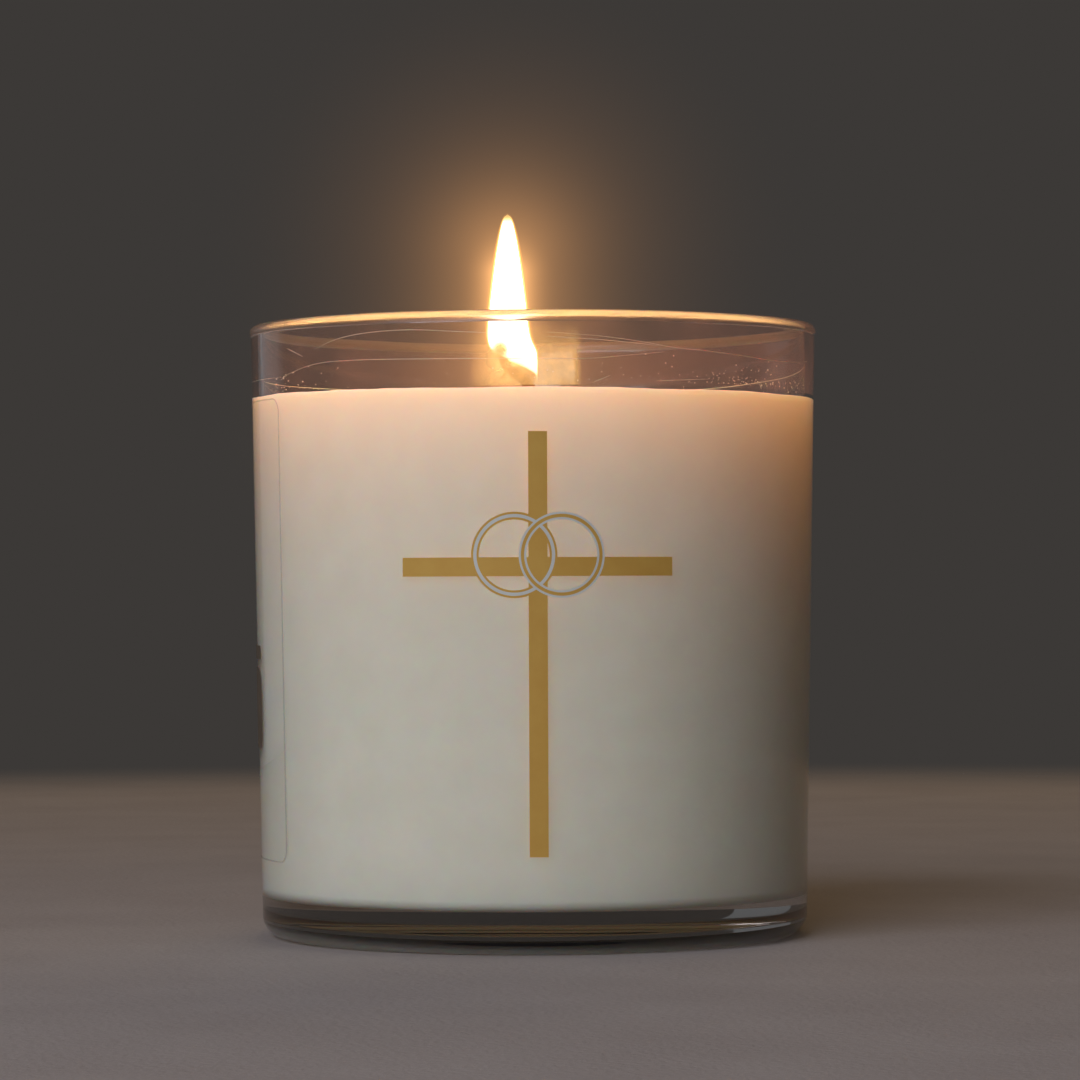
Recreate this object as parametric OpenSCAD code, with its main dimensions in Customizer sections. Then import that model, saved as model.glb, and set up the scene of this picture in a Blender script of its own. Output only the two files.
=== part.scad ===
// Unity candle: poured wax in a clear glass tumbler, printed with a cross and two linked rings, and lit.
// Millimetres. The origin is the centre of the underside, +Z is up and the printed front faces -Y.

/* [Glass tumbler] */
// Height from the underside to the top of the rim
glass_h = 88.5; // [70:0.5:110]
// Outer diameter of the wall, carried straight up to the top of the rim
rim_d = 82.2; // [66:0.1:100]
// How much smaller the radius of the wall is at the underside than at the rim
taper = 1.5; // [0.5:0.1:4]
// Thickness of the side wall
wall_t = 1.5; // [1.2:0.05:3]
// Thickness of the floor
floor_t = 6; // [4:0.1:10]
// Outer rounding where the wall meets the underside
heel_r = 3; // [1.5:0.1:3.8]
// Inner rounding where the wall meets the floor
cup_corner_r = 1.5; // [0.5:0.1:3]
// How far the fire-polished rim stands proud of the wall on each side
bead_proud = 0.2; // [0.1:0.05:0.5]
// Width of the flat ring that the tumbler stands on
foot_ring_w = 7; // [4:0.5:12]
// Height of the shallow dome inside that ring
punt_h = 1; // [0.5:0.1:2]

/* [Wax] */
// Distance from the top of the rim down to the wax
headspace = 10.3; // [8:0.1:25]
// Diameter of the melted pool round the wick
pool_d = 46; // [30:1:56]
// Depth of the melted pool at the wick
pool_depth = 4; // [2:0.1:8]
// Distance from the set wax down to the surface of the melted pool
pool_drop = 0.6; // [0.3:0.1:1.5]

/* [Wick] */
// Diameter of the braided wick
wick_d = 2; // [1.6:0.1:3]
// Diameter of the paper core inside the braid
core_d = 0.7; // [0.4:0.05:1]
// Diameter of the burnt end
char_d = 1.6; // [1.2:0.1:2.4]
// Diameter of the glowing knob on the tip of the burnt end
ember_d = 2; // [1.4:0.1:3]
// Diameter of the knuckle between its two bends
knuckle_d = 1.8; // [1.4:0.1:3]
// Radius of the lower bend of the burnt end
lower_bend_r = 5; // [3:0.1:8]
// Radius of the upper bend of the burnt end
upper_bend_r = 4.2; // [3:0.1:8]
// Angle through which each bend turns
bend_angle = 60; // [20:1:75]

/* [Wick sustainer] */
// Diameter of the metal tab under the wick
tab_d = 20; // [14:0.5:30]
// Thickness of the tab's sheet metal
tab_t = 0.3; // [0.2:0.05:0.6]
// Height of the crimped neck above the tab
neck_h = 6; // [3:0.5:12]
// Wall of the neck
neck_wall = 0.35; // [0.2:0.05:0.8]
// How far the skirt under the neck flares out over the tab
skirt_flare = 1.5; // [0.5:0.1:3]
// Diameter of the adhesive disc under the tab
sticker_d = 18; // [12:0.5:28]
// Thickness of the adhesive disc
sticker_t = 0.8; // [0.4:0.1:1.5]

/* [Printed cross] */
// Height of the foot of the cross above the underside
cross_foot_z = 13.6; // [8:0.1:25]
// Distance from the wax level down to the top of the cross
cross_top_gap = 6.4; // [2:0.1:20]
// Width of the cross across its arms, seen from the front
cross_w = 37.1; // [24:0.1:50]
// Width of each bar
bar_w = 2.6; // [1.5:0.1:5]
// Distance from the top of the cross down to the middle of the arms
arm_drop = 18.5; // [10:0.1:24]
// Thickness of the printed foil
print_t = 0.1; // [0.05:0.01:0.15]

/* [Printed rings] */
// Outer diameter of each ring
ring_d = 11.8; // [8:0.1:16]
// Distance between the middles of the two rings
ring_spacing = 6.5; // [4:0.1:9]
// Height of the middle of the rings above the middle of the arms
ring_rise = 1.6; // [0:0.1:4]
// Width of the thin outer and inner line of each ring
thin_line = 0.3; // [0.2:0.01:0.5]
// Width of the middle line of each ring
middle_line = 0.45; // [0.2:0.01:0.8]

/* [Side label] */
// Direction that the middle of the label faces, from +X towards +Y
label_facing = 165; // [140:1:200]
// Width of the label along the wall
label_w = 60; // [40:1:80]
// Height of the lower edge of the label above the underside
label_foot_z = 11.5; // [6:0.5:20]
// Distance from the wax level down to the upper edge of the label
label_top_gap = 0.7; // [0.2:0.1:10]
// Rounding of the corners of the label
label_corner_r = 2.2; // [1:0.1:4]
// Thickness of the clear film
film_t = 0.1; // [0.05:0.01:0.12]
// Thickness of the ink on the film
ink_t = 0.05; // [0.03:0.01:0.06]
// Width of the plain printed panel along the wall
panel_w = 39; // [20:1:50]
// Height of the panel
panel_h = 11.5; // [6:0.5:20]
// Height of the lower edge of the panel above the lower edge of the label
panel_rise = 16; // [6:0.5:24]
// Height of the thin bar over the panel
strip_h = 2; // [1:0.1:4]
// Gap between the panel and the bar over it
strip_gap = 1.3; // [0.5:0.1:4]

/* [Flame] */
// Height of the flame
flame_h = 24.3; // [16:0.1:32]
// Width of the flame at its widest
flame_w = 7; // [4:0.1:10]
// How far below the tip of the burnt wick the flame starts
flame_overlap = 4.6; // [2:0.1:6]
// How far the foot of the flame leans along the wick
flame_lean = 4.4; // [0:0.1:5]

/* [Hidden] */
$fn = 128;
// Facets of the large circles that the shallow domes are cut from
dome_facets = 720;
// Overshoot of every cutting shape past the surface that it cuts
past = 1;

// Radius of the outer wall at a height, and the lean of the wall from upright
rim_r = rim_d / 2;
slope = taper / glass_h;
lean = atan(slope);
function wall_r(z) = rim_r - taper + slope * z;
// Distance measured level between two surfaces of the wall that lie t apart
function level(t) = t / cos(lean);
function cup_r(z) = wall_r(z) - level(wall_t);

// The heel and the inner corner are arcs that touch the wall and the flat beside it
heel_x = wall_r(heel_r) - level(heel_r);
corner_z = floor_t + cup_corner_r;
corner_x = cup_r(corner_z) - level(cup_corner_r);
bead_r = wall_t / 2 + bead_proud;
bead_z = glass_h - bead_r;
bead_x = wall_r(bead_z) - level(wall_t) / 2;
punt_r = heel_x - foot_ring_w;
punt_dome_r = (punt_r * punt_r + punt_h * punt_h) / (2 * punt_h);

wax_z = glass_h - headspace;
pool_z = wax_z - pool_drop;
pool_r = pool_d / 2;
pool_dome_r = (pool_r * pool_r + pool_depth * pool_depth) / (2 * pool_depth);

sticker_z = floor_t;
tab_z = sticker_z + sticker_t;
neck_z = tab_z + tab_t;
neck_r = wick_d / 2 + neck_wall;
neck_top_z = neck_z + neck_h;
skirt_r = neck_r + skirt_flare;
skirt_h = neck_h / 4;
// The crimp is a groove pressed round the neck above its middle
crimp_depth = neck_wall / 3;
crimp_z = neck_z + 0.6 * neck_h;

bend_rise = sin(bend_angle);
bend_shift = 1 - cos(bend_angle);
wick_tip_x = -(lower_bend_r + upper_bend_r) * bend_shift;
wick_tip_z = pool_z + (lower_bend_r + upper_bend_r) * bend_rise;

cross_top_z = wax_z - cross_top_gap;
arm_z = cross_top_z - arm_drop;
ring_z = arm_z + ring_rise;
ring_inner_d = ring_d - 2 * (2 * thin_line + middle_line);

label_top_z = wax_z - label_top_gap;
panel_foot_z = label_foot_z + panel_rise;
strip_foot_z = panel_foot_z + panel_h + strip_gap;

flame_foot_z = wick_tip_z - flame_overlap;
// The flame stands beside the tip of the wick, over the bend
flame_x = wick_tip_x + 1;
flame_rings = 22;
flame_sides = 24;
// Share of the flame's height over which its foot widens, and the share that leans over the wick
foot_share = 0.2;
lean_share = 0.14;
// Power of the height left to the tip that the width follows, and what makes the widest ring full width
tip_power = 0.55;
fullness = 1.09;
// Gap between the flame and the burnt wick inside it
wick_gap = 0.1;

// Half section of the whole tumbler, filled in
module outer_section() {
    polygon([
        [0, 0], [heel_x, 0], [heel_x + heel_r * cos(lean), heel_r - heel_r * sin(lean)],
        [wall_r(bead_z), bead_z], [0, bead_z]
    ]);
    translate([heel_x, heel_r]) circle(r = heel_r);
}

// Half section of the space inside the wall up to a height
module cup_section(top_z) {
    polygon([
        [0, floor_t], [corner_x, floor_t],
        [corner_x + cup_corner_r * cos(lean), corner_z - cup_corner_r * sin(lean)],
        [cup_r(top_z), top_z], [0, top_z]
    ]);
    translate([corner_x, corner_z]) circle(r = cup_corner_r);
}

// Half section of the melted pool, a shallow dish under a level surface
module pool_section() {
    intersection() {
        translate([0, pool_z - pool_depth + pool_dome_r]) circle(r = pool_dome_r, $fn = dome_facets);
        translate([0, pool_z - pool_depth]) square([pool_r, pool_depth]);
    }
}

module glass_tumbler() {
    color([0.86, 0.88, 0.88, 0.35]) rotate_extrude() {
        difference() {
            outer_section();
            cup_section(bead_z + past);
            translate([0, punt_h - punt_dome_r]) circle(r = punt_dome_r, $fn = dome_facets);
        }
        translate([bead_x, bead_z]) circle(r = bead_r);
    }
}

// The space that the wick and its foot take up inside the wax
module wick_space() {
    translate([0, 0, sticker_z]) cylinder(h = sticker_t, d = sticker_d);
    sustainer_body();
    translate([0, 0, tab_z]) cylinder(h = wax_z - tab_z + past, d = wick_d);
}

module wax_fill() {
    color([0.9, 0.86, 0.78]) difference() {
        rotate_extrude() difference() {
            cup_section(wax_z);
            pool_section();
            translate([0, pool_z]) square([pool_r, pool_drop + past]);
        }
        wick_space();
    }
}

module melt_pool() {
    color([0.93, 0.85, 0.66, 0.6]) difference() {
        rotate_extrude() pool_section();
        translate([0, 0, pool_z - pool_depth - past]) cylinder(h = pool_depth + 2 * past, d = wick_d);
    }
}

module wick_sticker() {
    color([0.93, 0.93, 0.9]) translate([0, 0, sticker_z]) cylinder(h = sticker_t, d = sticker_d);
}

// The sustainer without its bore
module sustainer_body() {
    translate([0, 0, tab_z]) cylinder(h = tab_t, d = tab_d);
    translate([0, 0, neck_z]) cylinder(h = skirt_h, r1 = skirt_r, r2 = neck_r);
    translate([0, 0, neck_z]) cylinder(h = neck_h, r = neck_r);
}

module wick_sustainer() {
    color([0.72, 0.73, 0.74]) difference() {
        sustainer_body();
        translate([0, 0, tab_z - past]) cylinder(h = neck_top_z - tab_z + 2 * past, d = wick_d);
        translate([0, 0, crimp_z]) rotate_extrude()
            translate([neck_r + crimp_depth, 0]) circle(r = 2 * crimp_depth);
    }
}

module wick_braid() {
    color([0.94, 0.92, 0.86]) difference() {
        translate([0, 0, tab_z]) cylinder(h = pool_z - tab_z, d = wick_d);
        translate([0, 0, tab_z - past]) cylinder(h = pool_z - tab_z + 2 * past, d = core_d);
    }
}

module wick_core() {
    color([0.97, 0.96, 0.93]) translate([0, 0, tab_z]) cylinder(h = pool_z - tab_z, d = core_d);
}

// The burnt end: it leans over to -X, has a knuckle, straightens up again and ends in a knob
module burnt_shape(grow) {
    translate([-lower_bend_r, 0, pool_z]) rotate([90, 0, 0])
        rotate_extrude(angle = bend_angle) translate([lower_bend_r, 0]) circle(d = char_d + 2 * grow);
    translate([wick_tip_x + upper_bend_r, 0, wick_tip_z]) rotate([90, 0, 0]) rotate([0, 0, 180])
        rotate_extrude(angle = bend_angle) translate([upper_bend_r, 0]) circle(d = char_d + 2 * grow);
    translate([-lower_bend_r * bend_shift, 0, pool_z + lower_bend_r * bend_rise])
        sphere(d = knuckle_d + 2 * grow);
    translate([wick_tip_x, 0, wick_tip_z]) sphere(d = ember_d + 2 * grow);
}

module charred_wick_end() {
    color([0.12, 0.1, 0.09]) burnt_shape(0);
}

// A layer on the outer wall between two distances from the glass
module wall_layer(from_t, to_t, foot_z, top_z) {
    rotate_extrude() polygon([
        [wall_r(foot_z) + level(from_t), foot_z], [wall_r(foot_z) + level(to_t), foot_z],
        [wall_r(top_z) + level(to_t), top_z], [wall_r(top_z) + level(from_t), top_z]
    ]);
}

// That layer in the shape of a flat outline, drawn as seen from the side that it faces
module wall_print(facing, from_t, to_t, foot_z, top_z) {
    intersection() {
        wall_layer(from_t, to_t, foot_z - past, top_z + past);
        rotate([0, 0, facing + 90]) rotate([90, 0, 0]) linear_extrude(height = rim_d) children();
    }
}

module front_foil() {
    wall_print(-90, 0, print_t, cross_foot_z, cross_top_z) children();
}

module ring_outline(side, outer_d, inner_d) {
    translate([side * ring_spacing / 2, ring_z]) difference() {
        circle(d = outer_d);
        circle(d = inner_d);
    }
}

// The outer and inner lines of a ring, then the line between them
module thin_lines(side) {
    ring_outline(side, ring_d, ring_d - 2 * thin_line);
    ring_outline(side, ring_inner_d + 2 * thin_line, ring_inner_d);
}

module thick_line(side) {
    ring_outline(side, ring_d - 2 * thin_line, ring_inner_d + 2 * thin_line);
}

module whole_ring(side) {
    ring_outline(side, ring_d, ring_inner_d);
}

// The rings lie over the cross, and the right ring lies over the left one
module gold_cross() {
    color([0.6, 0.46, 0.23]) front_foil() difference() {
        union() {
            translate([-bar_w / 2, cross_foot_z]) square([bar_w, cross_top_z - cross_foot_z]);
            translate([-cross_w / 2, arm_z - bar_w / 2]) square([cross_w, bar_w]);
        }
        whole_ring(-1);
        whole_ring(1);
    }
}

module left_ring_gold() {
    color([0.6, 0.46, 0.23]) front_foil() difference() {
        thin_lines(-1);
        whole_ring(1);
    }
}

module left_ring_silver() {
    color([0.69, 0.71, 0.74]) front_foil() difference() {
        thick_line(-1);
        whole_ring(1);
    }
}

module right_ring_silver() {
    color([0.69, 0.71, 0.74]) front_foil() thin_lines(1);
}

module right_ring_gold() {
    color([0.6, 0.46, 0.23]) front_foil() thick_line(1);
}

module rounded_outline(width, foot_z, top_z, corner_r) {
    translate([-width / 2, foot_z + corner_r]) square([width, top_z - foot_z - 2 * corner_r]);
    translate([-width / 2 + corner_r, foot_z]) square([width - 2 * corner_r, top_z - foot_z]);
    for (side = [-1, 1]) for (z = [foot_z + corner_r, top_z - corner_r])
        translate([side * (width / 2 - corner_r), z]) circle(r = corner_r);
}

// A rounded rectangle wrapped round the wall, as wide along the wall as the width given
module wrapped_panel(width, foot_z, top_z, corner_r, from_t, to_t) {
    mean_r = wall_r((foot_z + top_z) / 2);
    seen_width = 2 * mean_r * sin(width / 2 / mean_r * 180 / PI);
    wall_print(label_facing, from_t, to_t, foot_z, top_z)
        rounded_outline(seen_width, foot_z, top_z, corner_r);
}

module clear_label() {
    color([0.9, 0.9, 0.9, 0.3])
        wrapped_panel(label_w, label_foot_z, label_top_z, label_corner_r, 0, film_t);
}

module label_print() {
    color([0.42, 0.35, 0.25]) {
        wrapped_panel(panel_w, panel_foot_z, panel_foot_z + panel_h, label_corner_r, film_t, film_t + ink_t);
        wrapped_panel(panel_w, strip_foot_z, strip_foot_z + strip_h, strip_h / 3, film_t, film_t + ink_t);
    }
}

// Radius and sideways shift of the flame at a share t of its height
function flame_r(t) =
    fullness * flame_w / 2 * pow(1 - t, tip_power) * pow(sin(90 * min(1, t / foot_share)), 2);
function flame_shift(t) = flame_x + flame_lean * exp(-pow(t / lean_share, 2));
function flame_point(t, turn) = [
    flame_shift(t) + flame_r(t) * cos(turn), flame_r(t) * sin(turn), flame_foot_z + flame_h * t
];

// Rings of points between two end points, joined into one closed skin
module flame_body() {
    shares = [for (i = [1:flame_rings]) sin(90 * i / (flame_rings + 1)) * i / (flame_rings + 1)];
    ring_points = [for (t = shares) for (k = [0:flame_sides - 1]) flame_point(t, 360 * k / flame_sides)];
    foot = flame_rings * flame_sides;
    tip = foot + 1;
    last = (flame_rings - 1) * flame_sides;
    polyhedron(
        points = concat(ring_points, [flame_point(0, 0), flame_point(1, 0)]),
        faces = concat(
            [for (k = [0:flame_sides - 1]) [foot, k, (k + 1) % flame_sides]],
            [for (i = [0:flame_rings - 2]) for (k = [0:flame_sides - 1]) [
                i * flame_sides + k, (i + 1) * flame_sides + k,
                (i + 1) * flame_sides + (k + 1) % flame_sides
            ]],
            [for (i = [0:flame_rings - 2]) for (k = [0:flame_sides - 1]) [
                i * flame_sides + k, (i + 1) * flame_sides + (k + 1) % flame_sides,
                i * flame_sides + (k + 1) % flame_sides
            ]],
            [for (k = [0:flame_sides - 1]) [tip, last + (k + 1) % flame_sides, last + k]]
        )
    );
}

module flame() {
    color([1, 0.82, 0.45, 0.7]) difference() {
        flame_body();
        burnt_shape(wick_gap);
    }
}

glass_tumbler();
wax_fill();
melt_pool();
wick_sticker();
wick_sustainer();
wick_braid();
wick_core();
charred_wick_end();
gold_cross();
left_ring_gold();
left_ring_silver();
right_ring_silver();
right_ring_gold();
clear_label();
label_print();
flame();
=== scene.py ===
import math
import random

import bmesh
import bpy
from mathutils import Matrix, Vector, noise


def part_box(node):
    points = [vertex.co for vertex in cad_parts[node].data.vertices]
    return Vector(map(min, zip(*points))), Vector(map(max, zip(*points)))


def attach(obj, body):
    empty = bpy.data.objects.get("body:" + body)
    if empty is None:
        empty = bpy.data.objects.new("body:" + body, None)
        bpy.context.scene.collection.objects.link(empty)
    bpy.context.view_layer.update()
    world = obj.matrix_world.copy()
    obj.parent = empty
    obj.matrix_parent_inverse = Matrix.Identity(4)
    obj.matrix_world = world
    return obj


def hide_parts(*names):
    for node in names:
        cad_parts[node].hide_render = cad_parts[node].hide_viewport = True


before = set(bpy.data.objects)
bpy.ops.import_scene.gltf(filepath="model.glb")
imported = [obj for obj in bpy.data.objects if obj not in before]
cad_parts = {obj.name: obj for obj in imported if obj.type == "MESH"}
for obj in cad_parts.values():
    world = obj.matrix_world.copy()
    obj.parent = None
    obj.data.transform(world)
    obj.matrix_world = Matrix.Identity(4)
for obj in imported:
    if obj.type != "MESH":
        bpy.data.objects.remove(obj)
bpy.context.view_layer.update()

MM = 0.001
# How many sides a turned piece has
SIDES = 256
# Faces that meet at less than this angle are shaded as one smooth surface
SMOOTH_BELOW = math.radians(38)


# ---------------------------------------------------------------- sizes, from the frame and the design

def top_of(node):
    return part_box(node)[1].z


def foot_of(node):
    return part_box(node)[0].z


def radius_of(node):
    low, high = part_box(node)
    return (high.x - low.x) / 2


GLASS_H = top_of("glass_tumbler")
FLOOR_Z = foot_of("wax_fill")
WAX_Z = top_of("wax_fill")
POOL_Z = top_of("melt_pool")
POOL_R = radius_of("melt_pool")
POOL_DEPTH = POOL_Z - foot_of("melt_pool")
WICK_R = radius_of("wick_braid")
STICKER_R = radius_of("wick_sticker")
TAB_R = radius_of("wick_sustainer")
TAB_Z = top_of("wick_sticker")
NECK_TOP_Z = top_of("wick_sustainer")
FLAME_FOOT_Z = foot_of("flame")
FLAME_TOP_Z = top_of("flame")

# The design's own values for the tumbler
RIM_R = 41.1 * MM
TAPER = 1.5 * MM
WALL = 1.5 * MM
HEEL_R = 3 * MM
CUP_CORNER_R = 1.5 * MM
BEAD_R = WALL / 2 + 0.2 * MM
FOOT_RING = 7 * MM
PUNT_H = 1 * MM
# The design's own values for the sustainer and the wick's burnt end
NECK_WALL = 0.35 * MM
TAB_T = 0.3 * MM
SKIRT_FLARE = 1.5 * MM
SKIRT_H = 1.5 * MM
CHAR_R = 0.8 * MM
EMBER_R = 1 * MM
LOWER_BEND_R = 5 * MM
UPPER_BEND_R = 4.2 * MM
BEND = math.radians(60)
# The design's own values for the label
LABEL_FACING = math.radians(165)
LABEL_W = 60 * MM
LABEL_FOOT_Z = 11.5 * MM
LABEL_TOP_Z = WAX_Z - 0.7 * MM
LABEL_CORNER_R = 2.2 * MM
FILM_T = 0.1 * MM

# Wax and liquid are sunk this far into what they touch, so that no two surfaces lie in one place
SUNK = 0.05 * MM


def wall_r(z):
    return RIM_R - TAPER + TAPER * z / GLASS_H


def cup_r(z):
    return wall_r(z) - WALL


# ---------------------------------------------------------------- meshes

def finish_mesh(name, bm, material):
    """Makes the object: its normals face outwards, and only its edges stay sharp."""
    bmesh.ops.recalc_face_normals(bm, faces=bm.faces)
    for face in bm.faces:
        face.smooth = True
    for edge in bm.edges:
        if len(edge.link_faces) == 2 and edge.calc_face_angle() > SMOOTH_BELOW:
            edge.smooth = False
    mesh = bpy.data.meshes.new(name)
    bm.to_mesh(mesh)
    bm.free()
    mesh.materials.append(material)
    piece = bpy.data.objects.new(name, mesh)
    bpy.context.scene.collection.objects.link(piece)
    return piece


def join_rings(bm, rings, start=None, end=None, loop=False):
    """Adds one skin through rings of points, with a pole point or an open hole at each end, or as a loop."""
    rows = [[bm.verts.new(point) for point in ring] for ring in rings]
    pairs = list(zip(rows, rows[1:])) + ([(rows[-1], rows[0])] if loop else [])
    for low, high in pairs:
        for i in range(len(low)):
            j = (i + 1) % len(low)
            bm.faces.new((low[i], low[j], high[j], high[i]))
    for point, row in ((start, rows[0]), (end, rows[-1])):
        if point is not None:
            pole = bm.verts.new(point)
            for i in range(len(row)):
                bm.faces.new((row[i], row[(i + 1) % len(row)], pole))


def circle(radius, z, sides=SIDES):
    turns = [2 * math.pi * i / sides for i in range(sides)]
    return [Vector((radius * math.cos(a), radius * math.sin(a), z)) for a in turns]


def arc(centre_r, centre_z, radius, start, end, steps):
    """Points of a profile along an arc, with the angles in degrees from outwards towards up."""
    angles = [math.radians(start + (end - start) * i / steps) for i in range(steps + 1)]
    return [(centre_r + radius * math.cos(a), centre_z + radius * math.sin(a)) for a in angles]


def line(start, end, steps):
    """Points of a profile along a straight line, without its ends."""
    return [tuple(s + (e - s) * i / steps for s, e in zip(start, end)) for i in range(1, steps)]


def lathe(name, profile, material, start=None, end=None, loop=False, change=None):
    """A solid of revolution. change may move each point a little, to make it uneven."""
    bm = bmesh.new()
    rings = [circle(r, z) for r, z in profile]
    if change:
        rings = [[change(point) for point in ring] for ring in rings]
    join_rings(bm, rings, start, end, loop)
    return finish_mesh(name, bm, material)


def uneven(point, size, seed):
    """A smooth value between about -1 and 1 that changes over a distance of size."""
    return noise.noise(point / size + Vector((seed, 0, 0)))


def sweep(bm, path, radius, sides, shape=None, aside=Vector((0, 1, 0))):
    """Adds a tube along a path, which never runs along aside. radius is a function of the share of the path,
    and shape is one of that share and the angle round the path."""
    rings = []
    count = len(path)
    for i, point in enumerate(path):
        before = path[max(0, i - 1)]
        after = path[min(count - 1, i + 1)]
        along = (after - before).normalized()
        across = along.cross(aside).normalized()
        other = along.cross(across)
        share = i / (count - 1)
        ring = []
        for k in range(sides):
            turn = 2 * math.pi * k / sides
            r = radius(share) * (shape(share, turn) if shape else 1)
            ring.append(point + across * r * math.cos(turn) + other * r * math.sin(turn))
        rings.append(ring)
    join_rings(bm, rings, start=path[0], end=path[-1])


# ---------------------------------------------------------------- materials

class Finish:
    """A material, whose nodes are added by short calls that take values or other nodes' sockets."""

    def __init__(self, name):
        self.material = bpy.data.materials.new(name)
        self.material.use_nodes = True
        self.nodes = self.material.node_tree.nodes
        self.nodes.clear()
        self.output = self.nodes.new("ShaderNodeOutputMaterial")

    def put(self, socket, value):
        if isinstance(value, bpy.types.NodeSocket):
            self.material.node_tree.links.new(value, socket)
        else:
            socket.default_value = value

    def add(self, kind, inputs, **settings):
        node = self.nodes.new("ShaderNode" + kind)
        for name, value in settings.items():
            setattr(node, name, value)
        for name, value in inputs.items():
            self.put(node.inputs[name], value)
        return node

    def math(self, operation, *values):
        node = self.add("Math", dict(enumerate(values)), operation=operation)
        return node.outputs[0]

    def place(self):
        """The point in the row frame, in metres."""
        return self.add("TexCoord", {}).outputs["Object"]

    def height(self):
        return self.add("SeparateXYZ", {0: self.place()}).outputs["Z"]

    def speckle(self, size, detail=3.0, rough=0.55, stretch=(1, 1, 1)):
        """Noise from 0 to 1 that changes over a distance of size."""
        moved = self.add("Mapping", {"Vector": self.place(), "Scale": stretch})
        made = self.add("TexNoise", {"Vector": moved.outputs[0], "Scale": 1 / size, "Detail": detail,
                                     "Roughness": rough})
        return made.outputs["Fac"]

    def ramp(self, value, low, high, from_low=0.0, from_high=1.0):
        """value, mapped from one range to another and kept inside it."""
        made = self.add("MapRange", {"Value": value, "From Min": from_low, "From Max": from_high,
                                     "To Min": low, "To Max": high})
        return made.outputs[0]

    def blend(self, factor, first, second):
        """A colour between two colours."""
        made = self.add("Mix", {0: factor, 6: (*first, 1) if isinstance(first, tuple) else first,
                                7: (*second, 1) if isinstance(second, tuple) else second}, data_type="RGBA")
        return made.outputs[2]

    def bump(self, height, distance, strength=1.0):
        made = self.add("Bump", {"Height": height, "Distance": distance, "Strength": strength})
        return made.outputs[0]

    def principled(self, **inputs):
        named = {key.replace("_", " "): value for key, value in inputs.items()}
        return self.add("BsdfPrincipled", named).outputs[0]

    def mix(self, factor, first, second):
        return self.add("MixShader", {0: factor, 1: first, 2: second}).outputs[0]

    def light_through(self, shader, tint=(1, 1, 1, 1), above=0.0):
        """Lets light from lamps pass straight through a clear surface, above a height."""
        path = self.add("LightPath", {}).outputs["Is Shadow Ray"]
        path = self.math("MULTIPLY", path, self.math("GREATER_THAN", self.height(), above))
        clear = self.add("BsdfTransparent", {"Color": tint}).outputs[0]
        return self.mix(path, shader, clear)

    def done(self, shader):
        self.put(self.output.inputs["Surface"], shader)
        return self.material


# The rim of the glass: how rough it is, and the colour and greatest share of the flame's light in it
RIM_ROUGHNESS = 0.22
RIM_LIT_COLOUR = (1.0, 0.82, 0.62, 1)
RIM_LIT_SHARE = 0.45
# The bloom: its colour, its shares where it is thin and thick, and how and where it thins out towards -X
HAZE_COLOUR = (1.0, 0.52, 0.46, 1)
HAZE_SHARES = (0.025, 0.081)
HAZE_LEAST = 0.36
HAZE_THINS = (-38 * MM, -12 * MM)
# The film: its colour, its painted glow, which stands for the flame's light in it, and its share, and where
# its left, right and top edges fade
SPLASH_COLOUR = (1.0, 0.72, 0.32, 1)
SPLASH_PAINTED_GLOW = (1.0, 0.60, 0.22, 1)
SPLASH_PAINTED_GLOW_STRENGTH = 0.45
SPLASH_SHARE = 0.5
SPLASH_LEFT = (-9.0 * MM, -5.5 * MM)
SPLASH_RIGHT = (6.2 * MM, 7.0 * MM)
SPLASH_TOP = (WAX_Z + 6.5 * MM, WAX_Z + 11.5 * MM)
# The colour that is left of light that crosses a lot of glass, and how fast it gets there
GLASS_TINT = (0.36, 0.31, 0.26, 1)
GLASS_DENSITY = 13.0


def bare_glass(f, place):
    """Glass with faint smears, rougher at its rim, where it also has a painted warm tint that stands for the
    flame's light.
    """
    smears = f.speckle(9 * MM, stretch=(1, 1, 2.5))
    on_rim = f.ramp(place["Z"], 0.0, 1.0, GLASS_H - 1.5 * MM, GLASS_H - 1.0 * MM)
    smooth = f.ramp(smears, 0.0, 0.035, 0.5, 0.8)
    # The rim's warm base colour is painted light: it stands for the flame's light in the bead
    return f.principled(
        Base_Color=f.blend(on_rim, (0.985, 0.99, 0.985), (1.0, 0.84, 0.66)), IOR=1.5, Transmission_Weight=1.0,
        Roughness=f.math("MULTIPLY_ADD", on_rim, RIM_ROUGHNESS, smooth),
        Normal=f.bump(f.speckle(14 * MM, detail=1.0), 0.02 * MM))


def rim_light_share(f, place, outside):
    """The flame's light shows along the top of the rim's outer half, and fades where the rim turns away."""
    on_top = f.ramp(place["Z"], 0.0, RIM_LIT_SHARE, GLASS_H - 1.2 * MM, GLASS_H - 0.9 * MM)
    turned_away = f.add("LayerWeight", {"Blend": 0.5}).outputs["Facing"]
    share = f.math("MULTIPLY", on_top, f.ramp(turned_away, 1.0, 0.0, 0.4, 0.75))
    return f.math("MULTIPLY", share, outside)


def bloom_share(f, place):
    """The bloom is uneven, and thinner towards -X."""
    bloom = f.speckle(8 * MM, detail=5.0, stretch=(1, 1, 0.6))
    thicker = f.ramp(place["X"], HAZE_LEAST, 1.0, *HAZE_THINS)
    return f.math("MULTIPLY", f.ramp(bloom, *HAZE_SHARES, 0.35, 0.7), thicker)


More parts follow.
